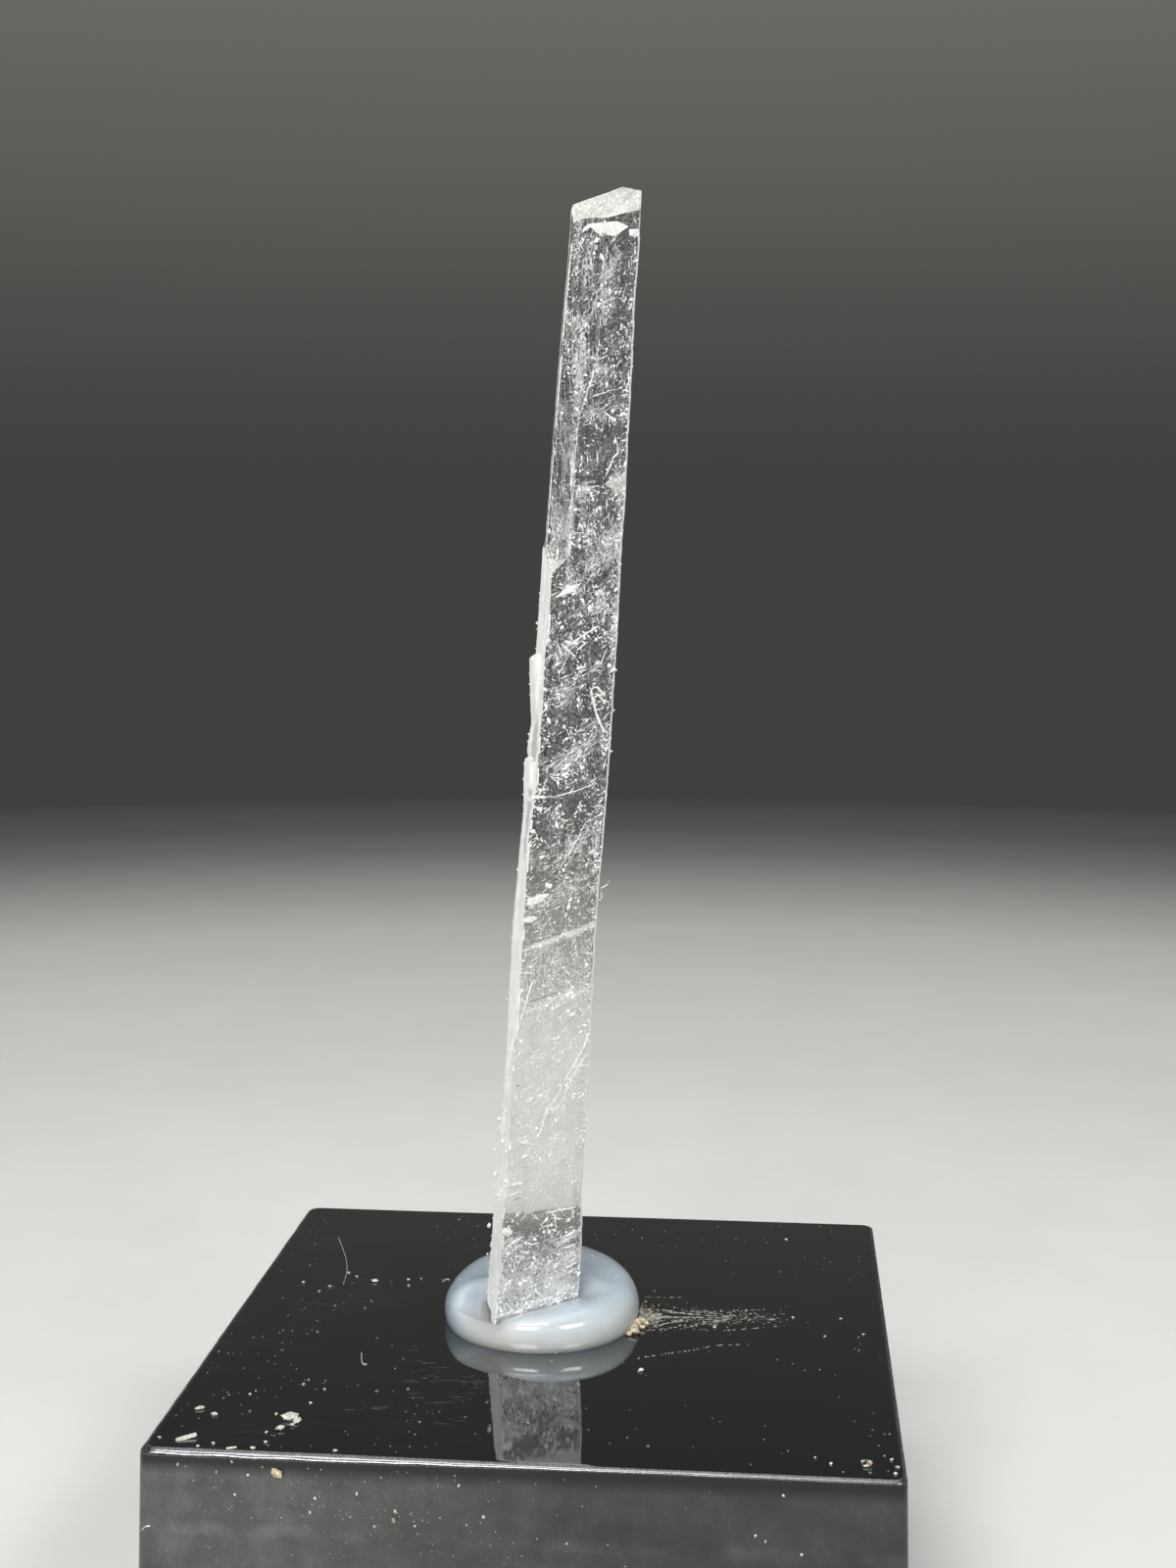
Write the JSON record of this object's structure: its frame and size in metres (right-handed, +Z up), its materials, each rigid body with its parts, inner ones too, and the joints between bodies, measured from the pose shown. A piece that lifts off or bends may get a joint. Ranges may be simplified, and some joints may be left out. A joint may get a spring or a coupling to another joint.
{
  "type": "mounted mineral crystal",
  "caption": "Long thin clear lath-shaped nifontovite crystal with a broken slanted tip, glued upright on a small glossy black display block.",
  "frame": {"origin": "centre of the display block's underside", "axes": "+Z up, +X to the right, +Y to the back, away from the crystal's broad front face"},
  "size_m": [0.0194, 0.0194, 0.0418],
  "materials": {
    "black_plastic": "polished black moulding",
    "mounting_glue": "translucent pale bluish-white, wet-looking, soft clear glue",
    "nifontovite": "clear colourless mineral with frosted breaks and white flecks"
  },
  "bodies": {
    "root": {"display_block": "black_plastic", "glue_dab": "mounting_glue", "nifontovite_crystal": "nifontovite"}
  },
  "joints": []
}
